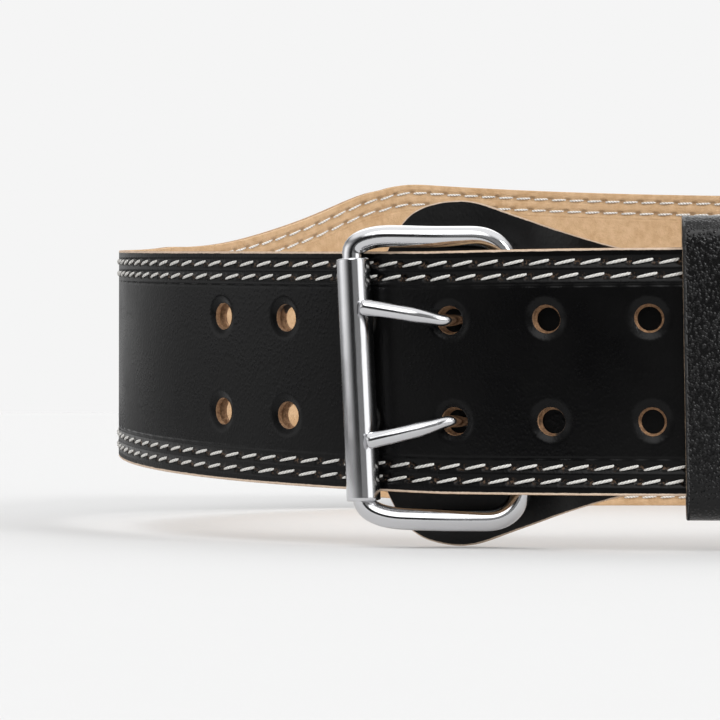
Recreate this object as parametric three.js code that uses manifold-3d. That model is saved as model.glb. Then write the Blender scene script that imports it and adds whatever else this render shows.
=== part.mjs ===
// Weightlifting belt: a buckled loop of leather standing on its lower edge, with a two-prong roller buckle.
// Millimetres, Z up, table at z = 0, buckle at the front (-Y), the wide back panel at +Y.
import * as THREE from 'three';
import { mergeVertices } from 'three/addons/utils/BufferGeometryUtils.js';
import Module from 'manifold-3d';

const wasm = await Module();
wasm.setup();

// Driving dimensions of the loop
const LOOP_HALF_WIDTH = 168;
const LOOP_HALF_DEPTH = 158;
const PRONG_HOLE_ANGLE = -2.028;
const STRAP_WIDTH = 60;
const BACK_WIDTH = 110.5;
const BACK_NARROWING = 0.025;
const TAPER_LENGTH = 130;
const BACK_LEFT_END = 88;
const BACK_RIGHT_END = 114;
const FRONT_DROP = 11.6;
const DROP_START_Y = 52;
const DROP_END_Y = -140;
const DROP_POWER = 0.92;

// Driving dimensions of the layers
const LEATHER_THICK = 2.2;
const LINING_THICK = 1.5;
const TAB_THICK = 2.0;
const LAYER_GAP = 0.3;
const FREE_END_LENGTH = 135;
const TIP_LENGTH = 30;
const TIP_FLAT = 8;
const FOLD_LENGTH = 36;
const FOLD_WIDTH = 49;
const FOLD_EASE = 16;
const LAYER_EASE = 90;
const LAYER_EASE_START = 5;
const STATION_STEP = 8;

// Driving dimensions of the prong holes
const HOLE_PITCH = 25;
const HOLE_ROW_SPACING = 25;
const HOLE_RISE = 0.4;
const HOLE_DIAMETER = 7;
const HOLES_TOWARDS_LEFT = 3;
const HOLES_TOWARDS_TIP = 4;
const HOLE_FACETS = 20;

// Driving dimensions of the buckle
const WIRE_DIAMETER = 5.5;
const FRAME_INNER_HEIGHT = 64.8;
const BUCKLE_DROP = 1.4;
const HEEL_CORNER_RADIUS = 8.25;
const ROLLER_CORNER_WIDTH = 9;
const ROLLER_CORNER_HEIGHT = 4;
const HEEL_OFFSET = 13.8;
const ROLLER_OFFSET = -23.4;
const ROLLER_DIAMETER = 8.5;
const ROLLER_LENGTH = 60.4;
const ROLLER_SLIDE = 0.9;
const ROLLER_CLEARANCE = 0.3;
const BUCKLE_LEAN_DEG = 3;
const LEAN_FADE = 70;
const PRONG_TIP_DIAMETER = 4;
const PRONG_NECK_DIAMETER = 3;
const PRONG_WIDTH_AT_HEEL = 4;
const PRONG_HEEL_HEIGHT = 10.6;
const PRONG_TIP_HEIGHT = 16.7;
const PRONG_TIP_DROP = 0.8;
const PRONG_REST_GAP = 0.4;
const PRONG_REST_DEG = 46;
const EYE_WALL = 1.3;
const EYE_CLEARANCE = 0.3;
const SLOT_CLEARANCE = 1.2;

// Driving dimensions of the tab and the keeper
const TAB_HEIGHT = 87;
const TAB_START = -27.8;
const TAB_LENGTH = 78;
const KEEPER_START = 58;
const KEEPER_LENGTH = 42;
const KEEPER_HEIGHT = 74;
const KEEPER_THICK = 2;
const KEEPER_RISE = 0.95;

// Derived sizes
const STRAP_THICK = LEATHER_THICK + LAYER_GAP + LINING_THICK;
const END_LAYER_DEPTH = STRAP_THICK + LAYER_GAP;
const WIRE_RADIUS = WIRE_DIAMETER / 2;
const FOLD_RADIUS = WIRE_RADIUS + LAYER_GAP + LEATHER_THICK / 2;
const HEEL_DEPTH = -(END_LAYER_DEPTH + LEATHER_THICK / 2 + FOLD_RADIUS);
const ROLLER_DEPTH = ROLLER_DIAMETER / 2 + LAYER_GAP;
const INNER_LEAF_DEPTH = -(END_LAYER_DEPTH + LEATHER_THICK + LAYER_GAP + LEATHER_THICK / 2);
const INNER_LEAF_END = HEEL_OFFSET + FOLD_LENGTH;
const LINING_START = INNER_LEAF_END + 1;
const LEAN = Math.tan(THREE.MathUtils.degToRad(BUCKLE_LEAN_DEG));

// Plan curve of the outer face, with its length along the loop
const CURVE_STEPS = 7200;
const curveTable = makeCurveTable();
const LOOP_LENGTH = curveTable[CURVE_STEPS];
const BACK_CENTRE = lengthAtAngle(Math.PI / 2);

function ellipsePoint(angle) {
  return [LOOP_HALF_WIDTH * Math.cos(angle), LOOP_HALF_DEPTH * Math.sin(angle)];
}

function makeCurveTable() {
  const table = [0];
  let [px, py] = ellipsePoint(PRONG_HOLE_ANGLE);
  for (let i = 1; i <= CURVE_STEPS; i += 1) {
    const [x, y] = ellipsePoint(PRONG_HOLE_ANGLE + (2 * Math.PI * i) / CURVE_STEPS);
    table.push(table[i - 1] + Math.hypot(x - px, y - py));
    px = x;
    py = y;
  }
  return table;
}

function lengthAtAngle(angle) {
  const turn = (angle - PRONG_HOLE_ANGLE) / (2 * Math.PI);
  return curveTable[Math.round(turn * CURVE_STEPS)];
}

function angleAtLength(length) {
  const s = THREE.MathUtils.euclideanModulo(length, LOOP_LENGTH);
  let low = 0;
  let high = CURVE_STEPS;
  while (high - low > 1) {
    const middle = (low + high) >> 1;
    if (curveTable[middle] > s) high = middle;
    else low = middle;
  }
  const share = (s - curveTable[low]) / (curveTable[high] - curveTable[low]);
  return PRONG_HOLE_ANGLE + (2 * Math.PI * (low + share)) / CURVE_STEPS;
}

// Half width of the strap: columns are share of the taper length and share of the widening
const TAPER_SHAPE = [
  { along: 0, widening: 1 },
  { along: 0.05, widening: 0.965 },
  { along: 0.1, widening: 0.9 },
  { along: 0.16, widening: 0.78 },
  { along: 0.23, widening: 0.63 },
  { along: 0.31, widening: 0.49 },
  { along: 0.38, widening: 0.385 },
  { along: 0.46, widening: 0.28 },
  { along: 0.53, widening: 0.2 },
  { along: 0.6, widening: 0.135 },
  { along: 0.68, widening: 0.085 },
  { along: 0.76, widening: 0.05 },
  { along: 0.88, widening: 0.018 },
  { along: 1, widening: 0 },
];

// Rise of the lower edge where the back's left end tapers: columns are place from the back's centre and rise
const LOWER_EDGE_RISE = [
  { fromBack: 45, rise: 0 },
  { fromBack: 70, rise: 1.2 },
  { fromBack: 89.5, rise: 3.3 },
  { fromBack: 101, rise: 3.9 },
  { fromBack: 109, rise: 2.7 },
  { fromBack: 118, rise: 1.1 },
  { fromBack: 128, rise: 0.4 },
  { fromBack: 138, rise: 0 },
];

function readTable(table, key, value, at) {
  if (at <= table[0][key]) return table[0][value];
  for (let i = 1; i < table.length; i += 1) {
    if (at <= table[i][key]) {
      const share = (at - table[i - 1][key]) / (table[i][key] - table[i - 1][key]);
      return THREE.MathUtils.lerp(table[i - 1][value], table[i][value], share);
    }
  }
  return table[table.length - 1][value];
}

function fromBackCentre(s) {
  return THREE.MathUtils.euclideanModulo(s, LOOP_LENGTH) - BACK_CENTRE;
}

function widening(s) {
  const fromBack = fromBackCentre(s);
  const past = Math.max(fromBack - BACK_LEFT_END, -fromBack - BACK_RIGHT_END, 0);
  return readTable(TAPER_SHAPE, 'along', 'widening', past / TAPER_LENGTH);
}

function evenHalfWidth(s) {
  const backWidth = BACK_WIDTH + BACK_NARROWING * fromBackCentre(s);
  return (STRAP_WIDTH + widening(s) * (backWidth - STRAP_WIDTH)) / 2;
}

function lowerEdgeRise(s) {
  return readTable(LOWER_EDGE_RISE, 'fromBack', 'rise', fromBackCentre(s));
}

function halfWidth(s) {
  return evenHalfWidth(s) - lowerEdgeRise(s) / 2;
}

// The wide back stands on the table; from there the centre line runs level and then sinks to the front
function centreHeight(s) {
  const y = ellipsePoint(angleAtLength(s))[1];
  const share = THREE.MathUtils.clamp((DROP_START_Y - y) / (DROP_START_Y - DROP_END_Y), 0, 1);
  const line = BACK_WIDTH / 2 - FRONT_DROP * share ** DROP_POWER;
  const half = evenHalfWidth(s);
  const middle = THREE.MathUtils.lerp(line, half, THREE.MathUtils.smoothstep(widening(s), 0.9, 1));
  return Math.max(half, middle) + lowerEdgeRise(s) / 2;
}

// Flat strap space to the loop: s along the strap, n outward from its outer face, h up from its centre
function wrapPoint(s, n, h, lean = LEAN) {
  const fromProngs = THREE.MathUtils.euclideanModulo(s + LOOP_LENGTH / 2, LOOP_LENGTH) - LOOP_LENGTH / 2;
  const fade = THREE.MathUtils.smoothstep(LEAN_FADE - Math.abs(fromProngs), 0, LEAN_FADE / 2);
  const along = s - h * lean * fade;
  const angle = angleAtLength(along);
  const [x, y] = ellipsePoint(angle);
  const normal = new THREE.Vector2(LOOP_HALF_DEPTH * Math.cos(angle), LOOP_HALF_WIDTH * Math.sin(angle));
  normal.normalize();
  return new THREE.Vector3(x + n * normal.x, y + n * normal.y, centreHeight(s) + h);
}

function wrap(geometry, lean = LEAN) {
  const positions = geometry.getAttribute('position');
  for (let i = 0; i < positions.count; i += 1) {
    const point = wrapPoint(positions.getX(i), positions.getY(i), positions.getZ(i), lean);
    positions.setXYZ(i, point.x, point.y, point.z);
  }
  return turnFaces(geometry);
}

// Strap space is left-handed next to the world, so the faces are turned over when a shape is wrapped
function turnFaces(geometry) {
  const index = geometry.getIndex();
  for (let i = 0; i < index.count; i += 3) {
    const first = index.getX(i);
    index.setX(i, index.getX(i + 1));
    index.setX(i + 1, first);
  }
  return geometry;
}

function tidy(geometry) {
  const plain = geometry.clone();
  plain.deleteAttribute('normal');
  plain.deleteAttribute('uv');
  return mergeVertices(plain, 1e-4);
}

function toSolid(geometry) {
  const merged = tidy(geometry);
  return new wasm.Manifold(new wasm.Mesh({
    numProp: 3,
    vertProperties: Float32Array.from(merged.getAttribute('position').array),
    triVerts: Uint32Array.from(merged.getIndex().array),
  }));
}

function fromSolid(solid) {
  const mesh = solid.getMesh();
  const geometry = new THREE.BufferGeometry();
  geometry.setAttribute('position', new THREE.BufferAttribute(Float32Array.from(mesh.vertProperties), 3));
  geometry.setIndex(new THREE.BufferAttribute(Uint32Array.from(mesh.triVerts), 1));
  return geometry;
}

// A band that follows a track of stations (s, n), each with its own half width
function band(stations, thickness) {
  const segments = stations.length - 1;
  const geometry = new THREE.BoxGeometry(segments, thickness, 2, segments, 1, 1);
  const positions = geometry.getAttribute('position');
  for (let i = 0; i < positions.count; i += 1) {
    const index = Math.round(positions.getX(i) + segments / 2);
    const station = stations[index];
    const before = stations[Math.max(index - 1, 0)];
    const after = stations[Math.min(index + 1, segments)];
    const run = new THREE.Vector2(after.s - before.s, after.n - before.n).normalize();
    const offset = positions.getY(i);
    const h = positions.getZ(i) * station.half;
    positions.setXYZ(i, station.s - run.y * offset, station.n + run.x * offset, h);
  }
  return geometry;
}

function evenSteps(start, end, step) {
  const count = Math.max(1, Math.round((end - start) / step));
  return Array.from({ length: count + 1 }, (_, i) => start + ((end - start) * i) / count);
}

function tipHalf(s, tipEnd) {
  const intoTip = Math.max(0, s - (tipEnd - TIP_LENGTH));
  const round = Math.sqrt(Math.max(0, 1 - (intoTip / TIP_LENGTH) ** 2));
  return Math.max(TIP_FLAT, (STRAP_WIDTH / 2) * round);
}

function tipSteps(start, tipEnd) {
  const steps = evenSteps(start, tipEnd - TIP_LENGTH, STATION_STEP);
  for (const share of [0.2, 0.4, 0.55, 0.7, 0.8, 0.88, 0.94, 1]) {
    steps.push(tipEnd - TIP_LENGTH * (1 - share * 0.964));
  }
  return steps;
}

// Depth of the outer face of the end layer, which lies under the free end and then eases outward
function endLayerDepth(s) {
  const ease = THREE.MathUtils.smoothstep(s - FREE_END_LENGTH - LAYER_EASE_START, 0, LAYER_EASE);
  return -END_LAYER_DEPTH * (1 - ease);
}

function holeColumns() {
  const columns = [];
  for (let i = -HOLES_TOWARDS_LEFT; i <= HOLES_TOWARDS_TIP; i += 1) {
    columns.push(LOOP_LENGTH + i * HOLE_PITCH);
  }
  return columns;
}

function punchHoles(geometry) {
  let solid = toSolid(geometry);
  for (const s of holeColumns()) {
    for (const side of [-1, 1]) {
      const punch = new THREE.CylinderGeometry(
        HOLE_DIAMETER / 2, HOLE_DIAMETER / 2, STRAP_THICK * 1.5, HOLE_FACETS);
      punch.translate(s, -STRAP_THICK / 2, (side * HOLE_ROW_SPACING) / 2 + HOLE_RISE);
      solid = solid.subtract(toSolid(punch));
    }
  }
  return solid;
}

function makeBeltLeather() {
  const stations = [];
  const half = FOLD_WIDTH / 2;
  for (const s of evenSteps(INNER_LEAF_END, HEEL_OFFSET + 1.5, -3)) {
    const ease = THREE.MathUtils.smoothstep(s, HEEL_OFFSET, HEEL_OFFSET + FOLD_LENGTH * 0.5);
    stations.push({ s, n: THREE.MathUtils.lerp(HEEL_DEPTH - FOLD_RADIUS, INNER_LEAF_DEPTH, ease), half });
  }
  for (let i = 0; i <= 10; i += 1) {
    const angle = -Math.PI / 2 - (Math.PI * i) / 10;
    const s = HEEL_OFFSET + FOLD_RADIUS * Math.cos(angle);
    stations.push({ s, n: HEEL_DEPTH + FOLD_RADIUS * Math.sin(angle), half });
  }
  for (const s of tipSteps(HEEL_OFFSET + 3, LOOP_LENGTH + FREE_END_LENGTH)) {
    const tip = tipHalf(s, LOOP_LENGTH + FREE_END_LENGTH);
    const widen = THREE.MathUtils.smoothstep(s, HEEL_OFFSET + 3, HEEL_OFFSET + 3 + FOLD_EASE);
    const body = THREE.MathUtils.lerp(half, halfWidth(s), widen);
    const n = endLayerDepth(s) - LEATHER_THICK / 2;
    stations.push({ s, n, half: s > LOOP_LENGTH ? tip : body });
  }
  let solid = punchHoles(band(stations, LEATHER_THICK));
  for (const side of [-1, 1]) {
    const slotHeight = PRONG_WIDTH_AT_HEEL + SLOT_CLEARANCE * 2;
    const slot = new THREE.BoxGeometry(FOLD_RADIUS * 2.9, FOLD_RADIUS * 3, slotHeight);
    slot.translate(HEEL_OFFSET, HEEL_DEPTH, side * PRONG_HEEL_HEIGHT + HOLE_RISE);
    solid = solid.subtract(toSolid(slot));
  }
  return wrap(fromSolid(solid));
}

function makeBeltLining() {
  const stations = [];
  const tipEnd = LOOP_LENGTH + FREE_END_LENGTH - 1;
  for (const s of tipSteps(LINING_START, tipEnd)) {
    const n = endLayerDepth(s) - LEATHER_THICK - LAYER_GAP - LINING_THICK / 2;
    stations.push({ s, n, half: s > LOOP_LENGTH ? tipHalf(s, tipEnd) : halfWidth(s) });
  }
  return wrap(fromSolid(punchHoles(band(stations, LINING_THICK))));
}

// Outline of the tab: columns are share of its length and share of its half height
const TAB_OUTLINE = [
  { along: 0, height: 0.12 },
  { along: 0.012, height: 0.25 },
  { along: 0.03, height: 0.4 },
  { along: 0.06, height: 0.58 },
  { along: 0.1, height: 0.75 },
  { along: 0.145, height: 0.89 },
  { along: 0.2, height: 0.96 },
  { along: 0.26, height: 0.99 },
  { along: 0.32, height: 1 },
  { along: 0.37, height: 0.988 },
  { along: 0.42, height: 0.96 },
  { along: 0.46, height: 0.935 },
  { along: 0.525, height: 0.897 },
  { along: 0.59, height: 0.86 },
  { along: 0.65, height: 0.825 },
  { along: 0.715, height: 0.79 },
  { along: 0.78, height: 0.755 },
  { along: 0.84, height: 0.725 },
  { along: 0.92, height: 0.69 },
  { along: 1, height: 0.66 },
];

function makeBuckleTab() {
  const foldFace = HEEL_DEPTH - FOLD_RADIUS - LEATHER_THICK / 2 - LAYER_GAP;
  const leafFace = INNER_LEAF_DEPTH - LEATHER_THICK / 2 - LAYER_GAP;
  const strapFace = -STRAP_THICK - LAYER_GAP;
  const leanShift = (FOLD_WIDTH / 2) * LEAN + LAYER_GAP;
  const noseEnd = HEEL_OFFSET - FOLD_RADIUS - LEATHER_THICK / 2 - leanShift;
  const shares = TAB_OUTLINE.map(({ along }) => along).filter((along) => along < 0.2);
  const stations = [...shares, ...evenSteps(0.2, 1, 0.03)].map((along) => {
    const s = TAB_START + along * TAB_LENGTH;
    const height = readTable(TAB_OUTLINE, 'along', 'height', along);
    const rise = THREE.MathUtils.smoothstep(s - leanShift, HEEL_OFFSET, HEEL_OFFSET + FOLD_LENGTH * 0.5);
    const fall = THREE.MathUtils.smoothstep(noseEnd - s, 0, noseEnd - TAB_START);
    const face = s > noseEnd
      ? THREE.MathUtils.lerp(foldFace, leafFace, rise)
      : THREE.MathUtils.lerp(foldFace, strapFace, fall);
    return { s, n: face - TAB_THICK / 2, half: (height * TAB_HEIGHT) / 2 };
  });
  return wrap(band(stations, TAB_THICK), 0);
}

// Centre line of the frame: a rounded rectangle that runs from the roller bar back to the heel bar
function framePath() {
  const points = [];
  const midS = (ROLLER_OFFSET + HEEL_OFFSET) / 2;
  const halfS = (HEEL_OFFSET - ROLLER_OFFSET) / 2;
  const halfH = (FRAME_INNER_HEIGHT + WIRE_DIAMETER) / 2;
  const add = (s, h) => {
    const share = (s - ROLLER_OFFSET) / (HEEL_OFFSET - ROLLER_OFFSET);
    points.push(wrapPoint(s, THREE.MathUtils.lerp(ROLLER_DEPTH, HEEL_DEPTH, share), h - BUCKLE_DROP));
  };
  const outline = [];
  for (const [sideS, sideH, start] of [[1, 1, 0], [-1, 1, 90], [-1, -1, 180], [1, -1, 270]]) {
    const wide = sideS > 0 ? HEEL_CORNER_RADIUS : ROLLER_CORNER_WIDTH;
    const high = sideS > 0 ? HEEL_CORNER_RADIUS : ROLLER_CORNER_HEIGHT;
    for (let i = 0; i <= 6; i += 1) {
      const angle = THREE.MathUtils.degToRad(start + 15 * i);
      const s = midS + sideS * (halfS - wide) + wide * Math.cos(angle);
      outline.push(new THREE.Vector2(s, sideH * (halfH - high) + high * Math.sin(angle)));
    }
  }
  outline.forEach((point, i) => {
    add(point.x, point.y);
    if (i % 7 !== 6) return;
    const next = outline[(i + 1) % outline.length];
    for (const share of [0.06, 0.3, 0.5, 0.7, 0.94]) {
      const between = point.clone().lerp(next, share);
      add(between.x, between.y);
    }
  });
  return new THREE.CatmullRomCurve3(points, true, 'centripetal');
}

function makeBuckleFrame() {
  return tidy(new THREE.TubeGeometry(framePath(), 84, WIRE_RADIUS, 14, true));
}

function barFrame(s, n) {
  const low = wrapPoint(s, n, -1);
  const high = wrapPoint(s, n, 1);
  return { centre: wrapPoint(s, n, 0), axis: high.sub(low).normalize() };
}

function standOnBar(geometry, s, n, h) {
  const { centre, axis } = barFrame(s, n);
  const turn = new THREE.Quaternion().setFromUnitVectors(new THREE.Vector3(0, 1, 0), axis);
  geometry.applyQuaternion(turn);
  geometry.translate(...centre.addScaledVector(axis, h));
  return geometry;
}

function makeRoller() {
  const inner = WIRE_RADIUS + ROLLER_CLEARANCE;
  const outer = ROLLER_DIAMETER / 2;
  const half = ROLLER_LENGTH / 2;
  const edge = 0.4;
  const drop = -BUCKLE_DROP - ROLLER_SLIDE;
  const profile = [
    [inner, -half], [outer - edge, -half], [outer, -half + edge],
    [outer, half - edge], [outer - edge, half], [inner, half], [inner, -half],
  ].map(([x, y]) => new THREE.Vector2(x, y));
  return tidy(standOnBar(new THREE.LatheGeometry(profile, 32), ROLLER_OFFSET, ROLLER_DEPTH, drop));
}

// Centre line of a prong, from its eye on the heel bar up through the hole to where it rests on the roller
function prongPath(side) {
  const reach = (ROLLER_DIAMETER + PRONG_TIP_DIAMETER) / 2 + PRONG_REST_GAP;
  const rest = THREE.MathUtils.degToRad(PRONG_REST_DEG);
  const tipS = ROLLER_OFFSET + reach * Math.cos(rest);
  const tipN = ROLLER_DEPTH + reach * Math.sin(rest);
  const hole = HOLE_ROW_SPACING / 2;
  const tipwards = (share) => THREE.MathUtils.lerp(hole, PRONG_TIP_HEIGHT, share);
  const stops = [
    { s: HEEL_OFFSET - FOLD_RADIUS * 0.82, n: HEEL_DEPTH + FOLD_RADIUS * 0.24, h: PRONG_HEEL_HEIGHT },
    { s: HEEL_OFFSET - FOLD_RADIUS * 1.69, n: HEEL_DEPTH + FOLD_RADIUS * 0.77, h: PRONG_HEEL_HEIGHT * 1.066 },
    { s: HOLE_DIAMETER * 0.243, n: -STRAP_THICK * 1.2, h: hole },
    { s: HOLE_DIAMETER * 0.029, n: -STRAP_THICK * 0.5, h: hole },
    { s: -HOLE_DIAMETER * 0.186, n: STRAP_THICK * 0.2, h: hole },
    { s: tipS * 0.27, n: tipN * 0.38, h: tipwards(0.25) },
    { s: tipS * 0.63, n: tipN * 0.73, h: tipwards(0.63) },
    { s: tipS, n: tipN, h: PRONG_TIP_HEIGHT },
  ];
  const points = stops.map(({ s, n, h }) => {
    const drop = (HOLE_RISE + PRONG_TIP_DROP) * THREE.MathUtils.clamp(s / tipS, 0, 1);
    return wrapPoint(s, n, side * h + HOLE_RISE - drop);
  });
  return new THREE.CatmullRomCurve3(points, false, 'centripetal');
}

function sweep(profile, path, facets) {
  const geometry = new THREE.LatheGeometry(profile, facets);
  const positions = geometry.getAttribute('position');
  const up = new THREE.Vector3(0, 0, 1);
  for (let i = 0; i < positions.count; i += 1) {
    const share = THREE.MathUtils.clamp(positions.getY(i), 0, 1);
    const tangent = path.getTangentAt(share);
    const sideways = new THREE.Vector3().crossVectors(tangent, up).normalize();
    const upright = new THREE.Vector3().crossVectors(sideways, tangent);
    const point = path.getPointAt(share);
    point.addScaledVector(upright, positions.getX(i));
    point.addScaledVector(sideways, -positions.getZ(i));
    positions.setXYZ(i, point.x, point.y, point.z);
  }
  return geometry;
}

function makeProng(side) {
  const neck = PRONG_NECK_DIAMETER / 2;
  const tip = PRONG_TIP_DIAMETER / 2;
  const profile = [new THREE.Vector2(0, 0)];
  for (let i = 0; i <= 20; i += 1) {
    const share = (i / 20) * 0.96;
    const swell = THREE.MathUtils.smoothstep(share, 0.42, 0.62);
    profile.push(new THREE.Vector2(THREE.MathUtils.lerp(neck, tip, swell), share));
  }
  profile.push(new THREE.Vector2(tip * 0.86, 0.988), new THREE.Vector2(tip * 0.6, 1), new THREE.Vector2(0, 1));
  const shaft = toSolid(sweep(profile, prongPath(side), 16));
  const inner = WIRE_RADIUS + EYE_CLEARANCE;
  const outer = inner + EYE_WALL;
  const half = PRONG_WIDTH_AT_HEEL / 2;
  const ring = new THREE.LatheGeometry([
    [inner, -half], [outer, -half], [outer, half], [inner, half], [inner, -half],
  ].map(([x, y]) => new THREE.Vector2(x, y)), 24);
  const core = new THREE.CylinderGeometry(inner, inner, PRONG_WIDTH_AT_HEEL * 2, 24);
  const height = side * PRONG_HEEL_HEIGHT + HOLE_RISE;
  const eye = toSolid(standOnBar(ring, HEEL_OFFSET, HEEL_DEPTH, height));
  const bore = toSolid(standOnBar(core, HEEL_OFFSET, HEEL_DEPTH, height));
  return fromSolid(shaft.add(eye).subtract(bore));
}

function makeKeeper() {
  const stackDepth = END_LAYER_DEPTH + STRAP_THICK;
  const midN = -stackDepth / 2;
  const halfN = stackDepth / 2 + LAYER_GAP + KEEPER_THICK / 2;
  const halfH = (KEEPER_HEIGHT - KEEPER_THICK) / 2;
  const corner = halfN;
  const loop = [];
  for (const [sign, start] of [[1, 0], [-1, 180]]) {
    for (let i = 0; i <= 10; i += 1) {
      const angle = THREE.MathUtils.degToRad(start + 18 * i);
      loop.push([Math.cos(angle), Math.sin(angle), sign]);
    }
  }
  const around = loop.length;
  const along = 8;
  const geometry = new THREE.BoxGeometry(along, 1, 1, along, 1, around);
  const positions = geometry.getAttribute('position');
  const kept = [];
  const index = geometry.getIndex();
  for (let i = 0; i < index.count; i += 3) {
    const ends = [0, 1, 2].every((k) => Math.abs(positions.getZ(index.getX(i + k))) > 0.4999)
      && Math.abs(positions.getZ(index.getX(i)) - positions.getZ(index.getX(i + 1))) < 1e-6
      && Math.abs(positions.getZ(index.getX(i)) - positions.getZ(index.getX(i + 2))) < 1e-6;
    if (!ends) kept.push(index.getX(i), index.getX(i + 1), index.getX(i + 2));
  }
  geometry.setIndex(kept);
  for (let i = 0; i < positions.count; i += 1) {
    const turn = Math.round((positions.getZ(i) + 0.5) * around) % around;
    const [cos, sin, sign] = loop[turn];
    const offset = positions.getY(i) * KEEPER_THICK;
    const s = KEEPER_START + (positions.getX(i) / along + 0.5) * KEEPER_LENGTH;
    const n = midN + (corner + offset) * cos;
    const h = sign * (halfH - corner) + (corner + offset) * sin + KEEPER_RISE;
    positions.setXYZ(i, s, n, h);
  }
  return tidy(wrap(geometry));
}

const LOOKS = {
  blackLeather: { color: 0x121212, roughness: 0.45, metalness: 0 },
  suede: { color: 0xc49a70, roughness: 0.95, metalness: 0 },
  grainedLeather: { color: 0x161616, roughness: 0.4, metalness: 0 },
  chrome: { color: 0xd8d8da, roughness: 0.12, metalness: 1 },
};

function piece(name, geometry, look) {
  const mesh = new THREE.Mesh(geometry, new THREE.MeshStandardMaterial(look));
  mesh.name = name;
  return mesh;
}

const belt = new THREE.Group();
belt.name = 'weightlifting_belt';
belt.add(
  piece('belt_leather', makeBeltLeather(), LOOKS.blackLeather),
  piece('belt_lining', makeBeltLining(), LOOKS.suede),
  piece('buckle_tab', makeBuckleTab(), LOOKS.blackLeather),
  piece('buckle_frame', makeBuckleFrame(), LOOKS.chrome),
  piece('roller', makeRoller(), LOOKS.chrome),
  piece('prong_upper', makeProng(1), LOOKS.chrome),
  piece('prong_lower', makeProng(-1), LOOKS.chrome),
  piece('keeper', makeKeeper(), LOOKS.grainedLeather),
);

// The belt stands centred over the origin with its lowest point on the table
const bounds = new THREE.Box3().setFromObject(belt);
const shift = bounds.getCenter(new THREE.Vector3());
for (const mesh of belt.children) {
  mesh.geometry.translate(-shift.x, -shift.y, -bounds.min.z);
}

export default belt;
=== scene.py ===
"""A buckled leather weightlifting belt, standing as a loop on a pale table."""

import math

import bmesh
import bpy
import numpy as np
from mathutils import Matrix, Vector


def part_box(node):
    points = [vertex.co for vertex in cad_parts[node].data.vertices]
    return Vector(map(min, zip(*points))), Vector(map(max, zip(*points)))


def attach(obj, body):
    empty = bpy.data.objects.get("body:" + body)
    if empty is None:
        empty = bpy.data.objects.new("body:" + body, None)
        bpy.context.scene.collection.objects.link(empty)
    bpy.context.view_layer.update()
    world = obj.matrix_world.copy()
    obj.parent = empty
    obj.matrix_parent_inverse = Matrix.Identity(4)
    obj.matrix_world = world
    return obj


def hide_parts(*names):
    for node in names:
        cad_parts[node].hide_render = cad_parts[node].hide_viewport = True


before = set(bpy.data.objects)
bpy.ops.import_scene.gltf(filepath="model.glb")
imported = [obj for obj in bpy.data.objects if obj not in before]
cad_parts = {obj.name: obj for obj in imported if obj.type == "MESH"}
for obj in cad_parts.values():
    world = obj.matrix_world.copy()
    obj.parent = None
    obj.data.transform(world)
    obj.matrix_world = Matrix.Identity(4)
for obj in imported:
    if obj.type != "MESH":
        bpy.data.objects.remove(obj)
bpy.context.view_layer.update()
MM = 0.001
SEAM_MERGE = 1e-7

# Loop, in millimetres
LOOP_HALF_WIDTH = 168.0
LOOP_HALF_DEPTH = 158.0
PRONG_HOLE_ANGLE = -2.028
STRAP_WIDTH = 60.0
BACK_WIDTH = 110.5
BACK_NARROWING = 0.025
TAPER_LENGTH = 130.0
BACK_LEFT_END = 88.0
BACK_RIGHT_END = 114.0
FRONT_DROP = 11.6
DROP_START_Y = 52.0
DROP_END_Y = -140.0
DROP_POWER = 0.92
LOOP_SHIFT_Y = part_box("belt_leather")[1].y / MM - LOOP_HALF_DEPTH

# Layers
LEATHER_THICK = 2.2
LINING_THICK = 1.5
TAB_THICK = 2.0
LEATHER_EDGE_ROUND = 0.5
LINING_EDGE_ROUND = 0.3
TAB_EDGE_ROUND = 0.45
LAYER_GAP = 0.3
FREE_END_LENGTH = 135.0
TIP_LENGTH = 30.0
TIP_FLAT = 8.0
TIP_REACH = 0.964
FOLD_LENGTH = 36.0
FOLD_WIDTH = 49.0
FOLD_EASE = 16.0
LAYER_EASE = 90.0
LAYER_EASE_START = 5.0

# Holes
HOLE_PITCH = 25.0
HOLE_ROW_SPACING = 25.0
HOLE_RISE = 0.4
HOLE_RADIUS = 3.5
HOLE_COLUMNS = range(-3, 5)
HOLE_CELLS = 8
LINING_HOLE_RADIUS = 2.95
PRONG_SLOT_HALF = 4.2
PRONG_SLOT_BEFORE = 3.0
PRONG_SLOT_PAST = 5.0
DISH_DEPTH = 0.78
DISH_FROM = 0.9
DISH_TO = 1.57
HOLE_RINGS = (6.0, 5.5, 4.9, 4.2)
FINE_STEP = HOLE_PITCH / 16

# Buckle
WIRE_RADIUS = 2.75
FRAME_INNER_HEIGHT = 64.8
BUCKLE_DROP = 1.4
HEEL_CORNER = (8.25, 8.25)
ROLLER_CORNER = (9.0, 4.0)
HEEL_OFFSET = 13.8
ROLLER_OFFSET = -23.4
ROLLER_RADIUS = 4.25
ROLLER_LENGTH = 60.4
ROLLER_SLIDE = 0.9
ROLLER_CLEARANCE = 0.3
LEAN = math.tan(math.radians(3))
LEAN_FADE = 70.0
PRONG_TIP_RADIUS = 2.0
PRONG_NECK_RADIUS = 1.5
PRONG_WIDTH_AT_HEEL = 4.0
PRONG_HEEL_HEIGHT = 10.6
PRONG_TIP_HEIGHT = 16.7
PRONG_TIP_DROP = 0.8
PRONG_REST_GAP = 0.4
PRONG_REST_DEG = 46.0
EYE_WALL = 1.3
EYE_CLEARANCE = 0.3
WIRE_SIDES = 28
FRAME_STEPS = 240
PRONG_POINTS = 61

# Tab and keeper
TAB_HEIGHT = 87.0
TAB_START = -27.8
TAB_LENGTH = 78.0
KEEPER_START = 58.0
KEEPER_LENGTH = 42.0
KEEPER_HEIGHT = 74.0
KEEPER_THICK = 2.0
KEEPER_RISE = 0.95

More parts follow.
